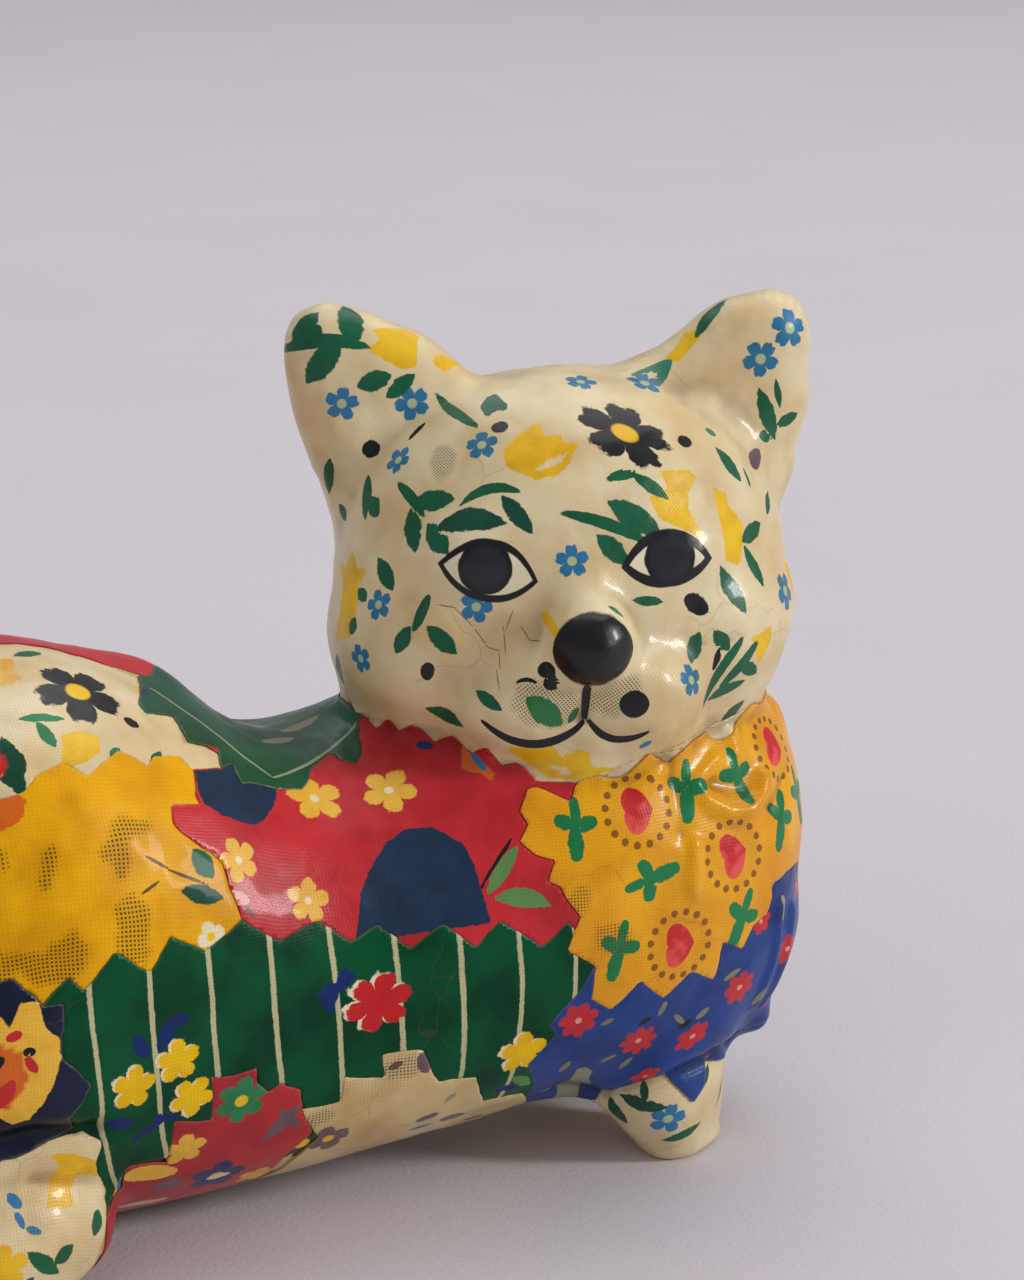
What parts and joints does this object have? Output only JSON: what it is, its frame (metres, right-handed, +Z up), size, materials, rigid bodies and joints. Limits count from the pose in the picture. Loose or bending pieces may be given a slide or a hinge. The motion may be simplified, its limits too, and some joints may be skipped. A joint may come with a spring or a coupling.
{
  "type": "patchwork cat sculpture",
  "caption": "Small lying cat, head turned to its right, papier-mache covered in varnished patches of printed cotton; stands on its own feet as an ornament.",
  "frame": {"origin": "middle of the bounding box in plan, on the surface the soles stand on", "axes": "+X from the rump to the chest, +Y to the cat's left, +Z up; the face looks along -Y, turned 12 degrees towards -X"},
  "size_m": [0.1138, 0.0648, 0.0868],
  "materials": {
    "varnished_cloth": "printed cotton patches glued on and varnished to a gloss, cream on the head and feet"
  },
  "bodies": {
    "root": {"cat": "varnished_cloth"}
  },
  "joints": []
}
